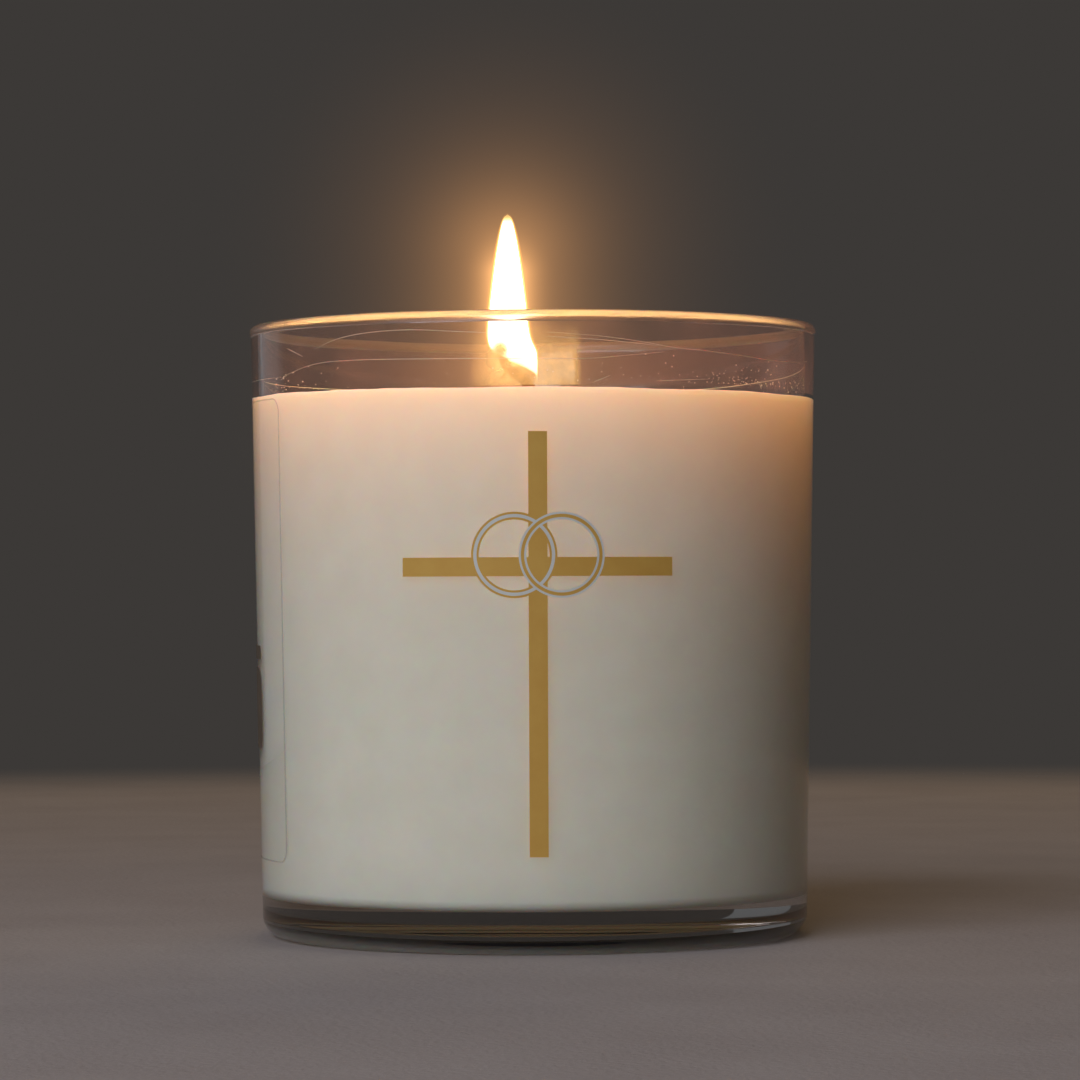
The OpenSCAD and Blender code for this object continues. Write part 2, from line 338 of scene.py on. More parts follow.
def wax_film_and_painted_glow_share(f, place):
    """The wax film and its painted glow are uneven, lie in front of the wick only, and are ragged on the
    right and at the top.
    """
    left_edge = f.ramp(place["X"], 0.0, 1.0, *SPLASH_LEFT)
    ragged_x = f.math("MULTIPLY_ADD", f.speckle(3 * MM, detail=4.0), 2 * MM, place["X"])
    right_edge = f.ramp(ragged_x, 1.0, 0.0, *SPLASH_RIGHT)
    ragged_z = f.math("MULTIPLY_ADD", f.speckle(4 * MM, detail=4.0), 6 * MM, place["Z"])
    top_edge = f.ramp(ragged_z, 1.0, 0.0, *SPLASH_TOP)
    in_front = f.math("LESS_THAN", place["Y"], 0.0)
    share = f.math("MULTIPLY", f.ramp(f.speckle(3 * MM, detail=4.0), 0.55, 1.15, 0.3, 0.7), SPLASH_SHARE)
    for limit in (left_edge, right_edge, top_edge, in_front):
        share = f.math("MULTIPLY", share, limit)
    return share


def clear_glass():
    """Clear soda glass, a little darker where light crosses a lot of it. Its rim is less clear, from heat and
    handling, has a painted warm tint for the flame's light, and catches the flame's light. Inside, over the
    wax, it has the thin bloom that a flame leaves, and a film of splashed wax in front of the wick, with a
    painted glow of the flame's light."""
    f = Finish("clear_glass")
    place = f.add("SeparateXYZ", {0: f.place()}).outputs
    flat = f.add("CombineXYZ", {0: place["X"], 1: place["Y"]}).outputs[0]
    off_axis = f.add("VectorMath", {0: flat}, operation="LENGTH").outputs["Value"]
    mid_wall = f.math("MULTIPLY_ADD", place["Z"], TAPER / GLASS_H, RIM_R - TAPER - WALL / 2)
    outside = f.math("GREATER_THAN", off_axis, mid_wall)
    over_wax = f.math("GREATER_THAN", place["Z"], WAX_Z)
    inside = f.math("MULTIPLY", f.math("LESS_THAN", off_axis, mid_wall), over_wax)

    lit = f.add("BsdfTranslucent", {"Color": RIM_LIT_COLOUR}).outputs[0]
    shader = f.mix(rim_light_share(f, place, outside), bare_glass(f, place), lit)
    bloomed = f.mix(0.5, f.add("BsdfDiffuse", {"Color": HAZE_COLOUR}).outputs[0],
                    f.add("BsdfTranslucent", {"Color": HAZE_COLOUR}).outputs[0])
    shader = f.mix(f.math("MULTIPLY", bloom_share(f, place), inside), shader, bloomed)
    splashed = f.add("BsdfTranslucent", {"Color": SPLASH_COLOUR}).outputs[0]
    # Painted light: the emission added to the film stands for the flame's light in it
    glowing = f.add("Emission", {"Color": SPLASH_PAINTED_GLOW, "Strength": SPLASH_PAINTED_GLOW_STRENGTH}).outputs[0]
    film = f.add("AddShader", {0: splashed, 1: glowing}).outputs[0]
    shader = f.mix(f.math("MULTIPLY", wax_film_and_painted_glow_share(f, place), inside), shader, film)

    absorbed = f.add("VolumeAbsorption", {"Color": GLASS_TINT, "Density": GLASS_DENSITY}).outputs[0]
    f.put(f.output.inputs["Volume"], absorbed)
    return f.done(f.light_through(shader, above=HEEL_R))


# The flame's light in the wax: each glow's colour, its strength at the top and the depth over which it fades
WAX_GLOWS = [((1.0, 0.52, 0.22), 0.30, 3.5 * MM), ((1.0, 0.34, 0.06), 0.34, 12 * MM)]


def ivory_wax():
    """Set wax: soft and slightly mottled, with the flame's light glowing through its upper edge."""
    f = Finish("ivory_wax")
    mottle = f.speckle(6 * MM, detail=4.0)
    colour = f.blend(f.ramp(mottle, 0, 1, 0.3, 0.7), (0.84, 0.79, 0.62), (0.88, 0.83, 0.66))
    depth = f.math("SUBTRACT", WAX_Z, f.height())
    glow = (0, 0, 0)
    for tone, strength, fade in WAX_GLOWS:
        level = f.math("MULTIPLY", f.math("EXPONENT", f.math("DIVIDE", depth, -fade)), strength)
        lit = f.add("VectorMath", {0: tone, "Scale": level}, operation="SCALE").outputs[0]
        glow = f.add("VectorMath", {0: glow, 1: lit}, operation="ADD").outputs[0]
    shader = f.principled(
        Base_Color=colour, Roughness=0.55, Specular_IOR_Level=0.0, Subsurface_Weight=1.0,
        Subsurface_Radius=(1.0, 0.6, 0.35), Subsurface_Scale=2.5 * MM, Emission_Color=glow,
        Emission_Strength=1.0, Normal=f.bump(f.speckle(1.5 * MM), 0.03 * MM))
    return f.done(shader)


def wax_top():
    """The set wax's open surface: satin, a little pitted, and lit by the flame."""
    f = Finish("ivory_wax_top")
    mottle = f.speckle(4 * MM, detail=4.0)
    colour = f.blend(f.ramp(mottle, 0, 1, 0.3, 0.7), (0.86, 0.805, 0.67), (0.90, 0.845, 0.71))
    bumps = f.bump(f.speckle(3 * MM, detail=5.0), 0.12 * MM)
    shader = f.principled(
        Base_Color=colour, Roughness=f.ramp(mottle, 0.35, 0.5), Subsurface_Weight=1.0,
        Subsurface_Radius=(1.0, 0.6, 0.35), Subsurface_Scale=2.5 * MM, Normal=bumps)
    return f.done(shader)


def melted_wax():
    """Clear, faintly yellow liquid with a slow ripple."""
    f = Finish("melted_wax")
    ripple = f.bump(f.speckle(7 * MM, detail=1.0), 0.05 * MM)
    colour = f.blend(f.speckle(5 * MM), (0.98, 0.93, 0.80), (0.99, 0.95, 0.85))
    shader = f.principled(Base_Color=colour, Roughness=0.02, IOR=1.44, Transmission_Weight=1.0, Normal=ripple)
    return f.done(f.light_through(shader, (0.98, 0.94, 0.84, 1)))


def charred_cotton():
    """Charred braid, with embers glowing in its tip, and a faint painted glow all over it that stands for the
    flame's light on it.
    """
    f = Finish("charred_cotton")
    ash = f.speckle(0.5 * MM, detail=4.0)
    colour = f.blend(f.ramp(ash, 0, 1, 0.45, 0.75), (0.012, 0.009, 0.007), (0.075, 0.055, 0.042))
    tip = f.ramp(f.height(), 0.0, 1.0, TIP_Z - 1.6 * MM, TIP_Z + 0.6 * MM)
    embers = f.math("MULTIPLY", f.math("POWER", tip, 2.0), f.ramp(f.speckle(0.7 * MM), 0.1, 0.9, 0.4, 0.65))
    # Emission: the embers at the tip, plus an even 0.18 all over, which is painted light for the flame's
    # light on the braid
    shader = f.principled(
        Base_Color=colour, Roughness=0.9, Specular_IOR_Level=0.15,
        Emission_Color=(1.0, 0.22, 0.03, 1), Emission_Strength=f.math("ADD", embers, 0.18),
        Normal=f.bump(ash, 0.15 * MM))
    return f.done(shader)


def print_ink(name, colour, lighter, metal, rough):
    """Foil or ink: fine grain in its colour and gloss, and the faint relief of a screen print."""
    f = Finish(name)
    grain = f.speckle(0.35 * MM, detail=5.0)
    shade = f.blend(f.ramp(f.speckle(4 * MM), 0, 1, 0.35, 0.65), colour, lighter)
    shader = f.principled(
        Base_Color=shade, Metallic=metal, Roughness=f.ramp(grain, rough - 0.06, rough + 0.08, 0.3, 0.7),
        Specular_IOR_Level=0.3, Normal=f.bump(grain, 0.01 * MM))
    return f.done(shader)


def clear_film(name, tint, share):
    """Label film: clear, with a weak gloss."""
    f = Finish(name)
    gloss = f.principled(Base_Color=(*tint, 1), Roughness=f.ramp(f.speckle(3 * MM), 0.08, 0.2), IOR=1.45)
    clear = f.add("BsdfTransparent", {"Color": (0.99, 0.99, 0.985, 1)}).outputs[0]
    return f.done(f.mix(share, clear, gloss))


def tinned_steel():
    """Tinned sheet, faintly brushed along one way."""
    f = Finish("tinned_steel")
    brushed = f.speckle(0.6 * MM, detail=4.0, stretch=(1, 8, 1))
    shader = f.principled(
        Base_Color=(0.72, 0.73, 0.74, 1), Metallic=1.0, Roughness=f.ramp(brushed, 0.22, 0.42),
        Normal=f.bump(brushed, 0.01 * MM))
    return f.done(shader)


def cotton_braid():
    """Waxed cotton, with the two crossing runs of a braid."""
    f = Finish("cotton_braid")
    runs = []
    for slant in (1, -1):
        turned = f.add("Mapping", {"Vector": f.place(), "Rotation": (0, slant * math.radians(35), 0)})
        wave = f.add("TexWave", {"Vector": turned.outputs[0], "Scale": 1 / (3.4 * MM), "Distortion": 1.0},
                     wave_type="BANDS", bands_direction="Z")
        runs.append(wave.outputs["Fac"])
    weave = f.math("MAXIMUM", *runs)
    shader = f.principled(
        Base_Color=f.blend(weave, (0.70, 0.66, 0.55), (0.93, 0.90, 0.81)), Roughness=0.7, Sheen_Weight=0.2,
        Normal=f.bump(weave, 0.15 * MM))
    return f.done(shader)


def paper(name, colour, darker, size):
    """Matt paper with fibres of a size."""
    f = Finish(name)
    fibres = f.speckle(size, detail=5.0, stretch=(1, 1, 0.3))
    shader = f.principled(Base_Color=f.blend(fibres, darker, colour), Roughness=0.85,
                          Normal=f.bump(fibres, 0.03 * MM))
    return f.done(shader)


def flame_shell(name, colour, strength, share, fade):
    """Glowing gas over what is behind it. fade makes a value that thins it out."""
    f = Finish(name)
    glow = f.add("Emission", {"Color": (*colour, 1), "Strength": strength}).outputs[0]
    clear = f.add("BsdfTransparent", {}).outputs[0]
    return f.done(f.mix(f.math("MULTIPLY", fade(f), share), clear, glow))


# ---------------------------------------------------------------- camera, light and stage

# The camera stands at the photograph's angle: a little to the left of the cross, at the middle of the glass
EYE_DISTANCE = 0.620
EYE_HEIGHT = 0.0501
EYE_TURN = math.radians(-0.86)
AIM = Vector((0.00095, 0, 0.0574))
ROLL = math.radians(-0.25)
LENS = 141.5


def add_camera():
    """A long lens at the eye's place, which looks at the aim and is rolled a little."""
    camera = bpy.data.objects.new("camera", bpy.data.cameras.new("camera"))
    bpy.context.scene.collection.objects.link(camera)
    camera.data.lens = LENS
    camera.data.sensor_width = 36
    camera.data.clip_start = 0.01
    camera.data.clip_end = 20
    camera.location = (EYE_DISTANCE * math.sin(EYE_TURN), -EYE_DISTANCE * math.cos(EYE_TURN), EYE_HEIGHT)
    aimed = (AIM - camera.location).to_track_quat("-Z", "Y").to_matrix().to_4x4()
    camera.matrix_world = Matrix.Translation(camera.location) @ aimed @ Matrix.Rotation(ROLL, 4, "Z")
    bpy.context.scene.camera = camera


def add_area(name, turn, height, distance, size, watts, colour, shown=True):
    """A soft light that stands at an angle round the candle from the front, and faces its middle. shown says
    whether the glass mirrors it and lets it be seen through."""
    lamp = bpy.data.lights.new(name, "AREA")
    lamp.shape = "RECTANGLE"
    lamp.size, lamp.size_y = size
    lamp.energy = watts
    lamp.color = colour
    light = bpy.data.objects.new(name, lamp)
    bpy.context.scene.collection.objects.link(light)
    a = math.radians(turn)
    light.location = (distance * math.sin(a), -distance * math.cos(a), height)
    facing = Vector((0, 0, 0.045)) - light.location
    light.rotation_euler = facing.to_track_quat("-Z", "Y").to_euler()
    light.visible_camera = False
    light.visible_transmission = shown
    light.visible_glossy = shown


def add_world():
    """An even, dim, warm grey all round."""
    world = bpy.data.worlds.new("studio")
    world.use_nodes = True
    world.node_tree.nodes["Background"].inputs["Color"].default_value = (0.045, 0.041, 0.038, 1)
    world.node_tree.nodes["Background"].inputs["Strength"].default_value = 1.0
    bpy.context.scene.world = world
    bpy.context.scene.view_settings.view_transform = "Standard"


FLOOR_R = 0.62
FLOOR_FADES_FROM = 0.42
# The floor lies just under the foot ring, so that the two don't lie in one place
FLOOR_TOP_Z = -0.02 * MM


def pale_floor():
    """A pale tabletop with a fine nap, which fades out far behind the candle."""
    f = Finish("pale_floor")
    nap = f.speckle(1.2 * MM, detail=4.0)
    patches = f.speckle(30 * MM, detail=3.0)
    colour = f.blend(f.ramp(patches, 0, 1, 0.3, 0.7), (0.56, 0.475, 0.41), (0.61, 0.525, 0.455))
    flat = f.add("VectorMath", {0: f.place()}, operation="LENGTH").outputs["Value"]
    shader = f.principled(Base_Color=colour, Roughness=0.9, Specular_IOR_Level=0.1,
                          Normal=f.bump(nap, 0.25 * MM))
    clear = f.add("BsdfTransparent", {}).outputs[0]
    edge = f.add("MapRange", {"Value": flat, "From Min": FLOOR_FADES_FROM, "From Max": FLOOR_R},
                 interpolation_type="SMOOTHSTEP").outputs[0]
    return f.done(f.mix(edge, shader, clear))


def add_floor():
    """A round tabletop with its face up."""
    bm = bmesh.new()
    rings = [circle(r, FLOOR_TOP_Z, 64) for r in (0.1, 0.3, FLOOR_R)]
    join_rings(bm, rings, start=Vector((0, 0, FLOOR_TOP_Z)))
    floor = finish_mesh("floor", bm, pale_floor())
    for face in floor.data.polygons:
        if face.normal.z < 0:
            face.flip()


add_camera()
add_world()
add_area("key_light", turn=-30, height=0.60, distance=1.0, size=(0.9, 0.7), watts=4.5,
         colour=(0.92, 0.99, 1.24))
add_area("window_strip", turn=-137, height=0.15, distance=1.0, size=(0.45, 0.35), watts=0.07,
         colour=(0.80, 0.90, 1.0))
add_area("back_fill", turn=165, height=0.8, distance=1.0, size=(0.9, 0.6), watts=1.6,
         colour=(1.0, 0.72, 0.38), shown=False)
add_floor()


# ---------------------------------------------------------------- the burnt wick's path and the flame's shape

BEND_SHIFT = 1 - math.cos(BEND)
TIP_X = -(LOWER_BEND_R + UPPER_BEND_R) * BEND_SHIFT
TIP_Z = POOL_Z + (LOWER_BEND_R + UPPER_BEND_R) * math.sin(BEND)


def burnt_path(steps):
    """The middle of the burnt end: it leans over to -X along one arc and straightens up along another."""
    points = [Vector((0, 0, POOL_Z - 1.2 * MM)), Vector((0, 0, POOL_Z - 0.6 * MM))]
    for i in range(steps + 1):
        a = BEND * i / steps
        points.append(Vector((-LOWER_BEND_R * (1 - math.cos(a)), 0, POOL_Z + LOWER_BEND_R * math.sin(a))))
    for i in range(1, steps + 1):
        a = BEND * (1 - i / steps)
        x = TIP_X + UPPER_BEND_R * (1 - math.cos(a))
        points.append(Vector((x, 0, TIP_Z - UPPER_BEND_R * math.sin(a))))
    return points


# ---------------------------------------------------------------- pieces

def make_glass():
    """The tumbler: punt, foot ring, heel, tapered wall, round bead, and the cup inside."""
    slope = math.degrees(math.atan(TAPER / GLASS_H))
    heel_x = wall_r(HEEL_R) - HEEL_R
    corner_z = FLOOR_Z + CUP_CORNER_R
    corner_x = cup_r(corner_z) - CUP_CORNER_R
    bead_z = GLASS_H - BEAD_R
    bead_x = wall_r(bead_z) - WALL / 2
    punt_r = heel_x - FOOT_RING
    dome_r = (punt_r ** 2 + PUNT_H ** 2) / (2 * PUNT_H)
    dome = [(r, PUNT_H - dome_r + math.sqrt(dome_r ** 2 - r ** 2)) for r in
            (punt_r * i / 12 for i in range(1, 13))]
    # The bead meets each face of the wall where its circle crosses that face
    meet = math.degrees(math.acos(WALL / 2 / BEAD_R))
    profile = dome
    profile += line((punt_r, 0), (heel_x, 0), 3)
    profile += arc(heel_x, HEEL_R, HEEL_R, -90, -slope, 20)
    # A ring close under the bead on each face keeps the wall's shading flat up to there
    under_bead = bead_z - BEAD_R * math.sin(math.radians(meet)) - 0.15 * MM
    outer_top = (wall_r(under_bead), under_bead)
    inner_top = (cup_r(under_bead), under_bead)
    profile += line((wall_r(HEEL_R), HEEL_R), outer_top, 24) + [outer_top]
    profile += arc(bead_x, bead_z, BEAD_R, -meet, 180 + meet, 36)
    profile += [inner_top] + line(inner_top, (cup_r(corner_z), corner_z), 24)
    profile += arc(corner_x, corner_z, CUP_CORNER_R, -slope, -90, 12)
    profile += line((corner_x, FLOOR_Z), (0, FLOOR_Z), 12)

    def blown(point):
        """The wall and floor of pressed glass are never quite even, though its outside is."""
        r = math.hypot(point.x, point.y)
        inner = 1 * MM < r < wall_r(point.z) - WALL * 0.9 and point.z > FLOOR_Z - 0.2 * MM
        fade = min(1, max(0, (under_bead - point.z) / (8 * MM)))
        push = 0.06 * MM * fade * uneven(point, 16 * MM, 3) if inner else 0
        return point - Vector((point.x, point.y, 0)).normalized() * push

    glass = lathe("glass_tumbler_clear", profile, clear_glass(), start=Vector((0, 0, PUNT_H)),
                  end=Vector((0, 0, FLOOR_Z)), change=blown)
    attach(glass, "root")
    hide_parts("glass_tumbler")


def dish(inner_r, foot_z):
    """The pool's round dish, from a radius round the wick out to its shore."""
    dish_r = (POOL_R ** 2 + POOL_DEPTH ** 2) / (2 * POOL_DEPTH)
    radii = (inner_r + (POOL_R - inner_r) * i / 16 for i in range(17))
    return [(r, foot_z + dish_r - math.sqrt(dish_r ** 2 - r ** 2)) for r in radii]


def make_wax():
    """The set wax: it climbs the glass a little, dips to the pool and is hollow for the wick's foot."""
    corner_z = FLOOR_Z + CUP_CORNER_R
    corner_x = cup_r(corner_z) - CUP_CORNER_R
    wall_top = cup_r(WAX_Z) + SUNK
    neck_r = WICK_R + NECK_WALL
    neck_z = TAB_Z + TAB_T
    dish_foot = POOL_Z - POOL_DEPTH
    shore = POOL_R + 1.5 * MM
    profile = [(WICK_R, NECK_TOP_Z), (neck_r, NECK_TOP_Z)]
    profile += [(neck_r, neck_z + SKIRT_H), (neck_r + SKIRT_FLARE, neck_z)]
    profile += [(TAB_R, neck_z), (TAB_R, TAB_Z), (STICKER_R, TAB_Z), (STICKER_R, FLOOR_Z)]
    profile += [(STICKER_R + 0.2 * MM, FLOOR_Z - SUNK)]
    profile += line((STICKER_R, FLOOR_Z - SUNK), (corner_x, FLOOR_Z - SUNK), 6)
    profile += arc(corner_x, corner_z, CUP_CORNER_R + SUNK, -90, 0, 10)
    profile += line((cup_r(corner_z) + SUNK, corner_z), (wall_top, WAX_Z), 40)
    # The wax clings to the glass in a thin meniscus: (distance in from the wall, height over the wax) in mm
    meniscus = ((0, 0.05), (0.12, 0.1), (0.4, -0.06), (1.0, -0.14), (2.2, -0.16))
    profile += [(wall_top - inwards * MM, WAX_Z + rise * MM) for inwards, rise in meniscus]
    profile += line(profile[-1], (shore, WAX_Z - 0.08 * MM), 12)
    profile += arc(shore, WAX_Z - 0.9 * MM, 0.8 * MM, 90, 170, 6)
    profile += reversed(dish(WICK_R, dish_foot))
    profile += line((WICK_R, dish_foot), (WICK_R, NECK_TOP_Z), 12)

    def settled(point):
        """The open surface is slightly wavy, and so is the line where it meets the glass. It falls towards
        the glass, and more so on the right."""
        if point.z < WAX_Z - 0.5 * MM:
            return point
        wave = 0.16 * uneven(point, 11 * MM, 1) + 0.07 * uneven(point, 3 * MM, 2)
        outwards = (math.hypot(point.x, point.y) - shore) / (wall_top - shore)
        fall = (0.42 + 0.25 * point.x / wall_top) * min(1, max(0, outwards)) ** 0.5
        return point + Vector((0, 0, (wave - fall) * MM))

    wax = lathe("wax_fill_ivory", profile, ivory_wax(), loop=True, change=settled)
    wax.data.materials.append(wax_top())
    for face in wax.data.polygons:
        middle = face.center
        inside = math.hypot(middle.x, middle.y) < cup_r(WAX_Z) - 0.05 * MM
        if inside and middle.z > POOL_Z - POOL_DEPTH - 0.1 * MM and face.normal.z > 0.2:
            face.material_index = 1
    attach(wax, "root")
    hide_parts("wax_fill")


def make_pool():
    """The melted pool: a clear lens, drawn up a little at the wick and at its shore."""
    hole_r = WICK_R * 0.95
    rim_r = POOL_R + 0.25 * MM
    under = dish(hole_r, POOL_Z - POOL_DEPTH - SUNK)
    surface = []
    for i in range(25):
        r = rim_r + (hole_r - rim_r) * i / 24
        climb = 0.35 * math.exp(-(r - hole_r) / (0.6 * MM)) + 0.25 * math.exp(-(rim_r - r) / (0.7 * MM))
        surface.append((r, POOL_Z - 0.05 * MM + climb * MM))
    pool = lathe("melt_pool_liquid", under + surface, melted_wax(), loop=True)
    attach(pool, "root")
    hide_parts("melt_pool")


def make_burnt_wick():
    """The burnt end: two runs of strands cross round it, it thins and crumbles upwards and ends in a knob."""
    path = burnt_path(40)
    count = len(path)

    def thickness(share):
        knob = EMBER_R * 0.95 * math.exp(-((share - 0.965) / 0.05) ** 2)
        closing = math.sqrt(max(0.0, 1 - (max(0.0, share - 0.93) / 0.075) ** 2))
        body = CHAR_R * (1.08 - 0.22 * share) + 0.16 * MM * math.exp(-((share - 0.52) / 0.1) ** 2)
        return max(body, knob) * max(0.12, closing)

    def strands(share, turn):
        run = 26 * share
        braid = max(math.cos(2 * turn + run), math.cos(2 * turn - run))
        crumble = noise.noise(Vector((3 * math.cos(turn), 3 * math.sin(turn), 40 * share)))
        return 0.9 + 0.13 * braid + 0.14 * crumble

    bm = bmesh.new()
    sweep(bm, path, thickness, 28, strands)
    # A loose thread hangs from the upper bend
    start = path[round(count * 0.62)]
    thread = [start + Vector((-0.2 - 0.9 * t, -0.15 * math.sin(3 * t), 0.15 - 1.7 * t ** 1.4)) * MM
              for t in (i / 10 for i in range(11))]
    sweep(bm, thread, lambda share: (0.34 - 0.2 * share) * MM, 10,
          lambda share, turn: 1 + 0.2 * noise.noise(Vector((turn, 9 * share, 5))))
    wick = finish_mesh("charred_wick_braid", bm, charred_cotton())
    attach(wick, "root")
    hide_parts("charred_wick_end")


# The design's own values for the flame: its size and place, the shares of its height over which its foot
# widens and leans, the power that its width follows to the tip, and what makes the widest ring full width
FLAME_W = 7 * MM
FLAME_X = TIP_X + 1 * MM
FLAME_LEAN = 4.4 * MM
FOOT_SHARE = 0.2
LEAN_SHARE = 0.14
TIP_POWER = 0.55
FULLNESS = 1.09
FLAME_H = FLAME_TOP_Z - FLAME_FOOT_Z
# How finely its skins are made
FLAME_RINGS = 60
FLAME_SIDES = 48


def flame_skin(name, material, grow, tip):
    """One closed skin of the flame, wider than its own shape by grow, and up to a share of its height."""
    def radius(t):
        widens = math.sin(math.pi / 2 * min(1, t / FOOT_SHARE)) ** 2
        body = FULLNESS * FLAME_W / 2 * (1 - t) ** TIP_POWER * widens
        return max(body + grow * math.sin(math.pi * min(1, max(0, t))) ** 0.35, 0.01 * MM)

    def middle(t):
        lean = FLAME_LEAN * math.exp(-(t / LEAN_SHARE) ** 2)
        return Vector((FLAME_X + lean, 0, FLAME_FOOT_Z + FLAME_H * t))

    rings = []
    for i in range(1, FLAME_RINGS):
        share = i / FLAME_RINGS
        t = tip * (share + math.sin(math.pi / 2 * share) * share) / 2
        around = [2 * math.pi * k / FLAME_SIDES for k in range(FLAME_SIDES)]
        end = math.sqrt(min(1, share / 0.06)) * math.sqrt(min(1, (1 - share) / 0.02))
        rings.append([middle(t) + radius(t) * end * Vector((math.cos(a), math.sin(a), 0)) for a in around])
    bm = bmesh.new()
    join_rings(bm, rings, start=middle(0), end=middle(tip))
    skin = finish_mesh(name, bm, material)
    skin.visible_shadow = False
    skin.visible_diffuse = False
    material.cycles.emission_sampling = "NONE"
    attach(skin, "root")
    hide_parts("flame")


def clear_of_wick(f):
    """0 on the burnt wick and its tip and 1 well above them, so that the wick shows through the flame."""
    place = f.add("SeparateXYZ", {0: f.place()}).outputs
    lean = f.math("MULTIPLY_ADD", place["X"], 0.55, place["Z"])
    wick_line = TIP_Z - 3.3 * MM
    over_wick = f.ramp(lean, 0.0, 1.0, wick_line - 2.2 * MM, wick_line + 1.5 * MM)
    aside = f.math("SUBTRACT", place["X"], TIP_X)
    above = f.math("SUBTRACT", place["Z"], TIP_Z)
    from_tip = f.add("CombineXYZ", {0: aside, 1: above}).outputs[0]
    far = f.add("VectorMath", {0: from_tip}, operation="LENGTH").outputs["Value"]
    return f.math("MULTIPLY", over_wick, f.ramp(far, 0.0, 1.0, 0.1 * MM, 1.5 * MM))


def thins_at_tip(f):
    """1 over most of the flame's height, and down to 0 at its tip."""
    return f.ramp(f.height(), 1.0, 0.0, FLAME_TOP_Z - 1.3 * MM, FLAME_TOP_Z)


def mantle_fade(f):
    """The mantle ends softly at the wick and at the tip."""
    return f.math("MULTIPLY", clear_of_wick(f), thins_at_tip(f))


def core_fade(f):
    """The core is so bright that only a steep fade looks soft."""
    at_tip = f.ramp(f.height(), 1.0, 0.0, FLAME_TOP_Z - 1.9 * MM, FLAME_TOP_Z - 0.5 * MM)
    return f.math("POWER", f.math("MULTIPLY", clear_of_wick(f), at_tip), 3.0)


# The flame's skins: (name, colour, strength, share, fade, how much wider, share of the height)
FLAME_SKINS = [
    ("flame_core", (1.0, 0.93, 0.78), 9.0, 1.0, core_fade, -0.2 * MM, 0.98),
    ("flame_mantle", (1.0, 0.68, 0.22), 2.2, 0.45, mantle_fade, 0.05 * MM, 0.99),
    ("flame_edge", (1.0, 0.42, 0.10), 1.0, 0.28, thins_at_tip, 0.3 * MM, 1.0),
]
# The lamps inside it: (share of the flame's height, watts)
FLAME_LAMPS = [(0.22, 0.055), (0.45, 0.062), (0.7, 0.034)]


def make_flame():
    """Skins of glowing gas, with small lamps inside that give the flame's light without being seen."""
    for name, colour, strength, share, fade, grow, tip in FLAME_SKINS:
        flame_skin(name, flame_shell(name, colour, strength, share, fade), grow, tip)
    for share, watts in FLAME_LAMPS:
        lamp = bpy.data.lights.new("flame_light", "POINT")
        lamp.energy = watts
        lamp.color = (1.0, 0.62, 0.28)
        lamp.shadow_soft_size = 2 * MM
        light = bpy.data.objects.new("flame_light", lamp)
        bpy.context.scene.collection.objects.link(light)
        light.location = (FLAME_X, 0, FLAME_FOOT_Z + FLAME_H * share)
        light.visible_camera = False
        light.visible_glossy = False
        light.visible_transmission = False


HALO_COLOUR = (1.0, 0.46, 0.15, 1)


def add_halo(name, reach, foot, tip, glows):
    """The glow that a camera sees in the air round a flame. It belongs to the picture, not to the candle. It
    follows the flame between two shares of its height. Each glow is its strength and how far it reaches."""
    low = FLAME_FOOT_Z + foot * FLAME_H
    high = FLAME_FOOT_Z + tip * FLAME_H
    f = Finish(name)
    place = f.add("SeparateXYZ", {0: f.place()}).outputs
    aside = f.math("SUBTRACT", place["X"], FLAME_X)
    from_middle = f.math("ABSOLUTE", f.math("SUBTRACT", place["Z"], (low + high) / 2))
    past_line = f.math("MAXIMUM", f.math("SUBTRACT", from_middle, (high - low) / 2), 0.0)
    from_flame = f.add("CombineXYZ", {0: aside, 1: place["Y"], 2: past_line}).outputs[0]
    far = f.add("VectorMath", {0: from_flame}, operation="LENGTH").outputs["Value"]
    light = 0.0
    for strength, fade in glows:
        light = f.math("MULTIPLY_ADD", f.math("EXPONENT", f.math("DIVIDE", far, -fade)), strength, light)
    ends = {"Value": far, "From Min": reach * 0.55, "From Max": reach, "To Min": 1.0, "To Max": 0.0}
    ending = f.add("MapRange", ends, interpolation_type="SMOOTHSTEP").outputs[0]
    glow = f.add("Emission", {"Color": HALO_COLOUR, "Strength": f.math("MULTIPLY", light, ending)}).outputs[0]
    f.put(f.output.inputs["Volume"], glow)
    profile = arc(0, low, reach, -80, 0, 8) + arc(0, high, reach, 0, 80, 8)
    bm = bmesh.new()
    rings = [[point + Vector((FLAME_X, 0, 0)) for point in circle(r, z, 32)] for r, z in profile]
    join_rings(bm, rings, start=Vector((FLAME_X, 0, low - reach)), end=Vector((FLAME_X, 0, high + reach)))
    halo = finish_mesh(name, bm, f.material)
    halo.visible_shadow = False
    halo.visible_diffuse = False


# Thin lines of wax on the glass: (angle from the front in degrees, height over the wax in mm)
WAX_TRACES = [
    [(-62, 2.2), (-51, 3.6), (-40, 3.9), (-20, 3.7), (0, 3.6), (10, 3.6), (17, 4.0), (27, 4.7)],
    [(2, 7.2), (12, 6.7), (21, 6.0), (28, 5.3), (35, 5.0), (44, 4.6), (57, 4.1), (75, 4.3)],
    [(2, 6.6), (12, 6.2), (21, 5.7), (26, 5.4)],
    [(-50, 5.7), (-44, 6.9), (-36, 7.6), (-26, 7.8), (-16, 7.4), (-5, 7.0)],
    [(-60, 6.2), (-53.5, 4.7)],
    [(11, 0.3), (15, 1.4)],
    [(24, 0.6), (38, 1.1)],
    [(75, 4.3), (110, 3.0), (150, 2.4), (200, 2.6), (240, 2.4), (298, 2.2)],
]
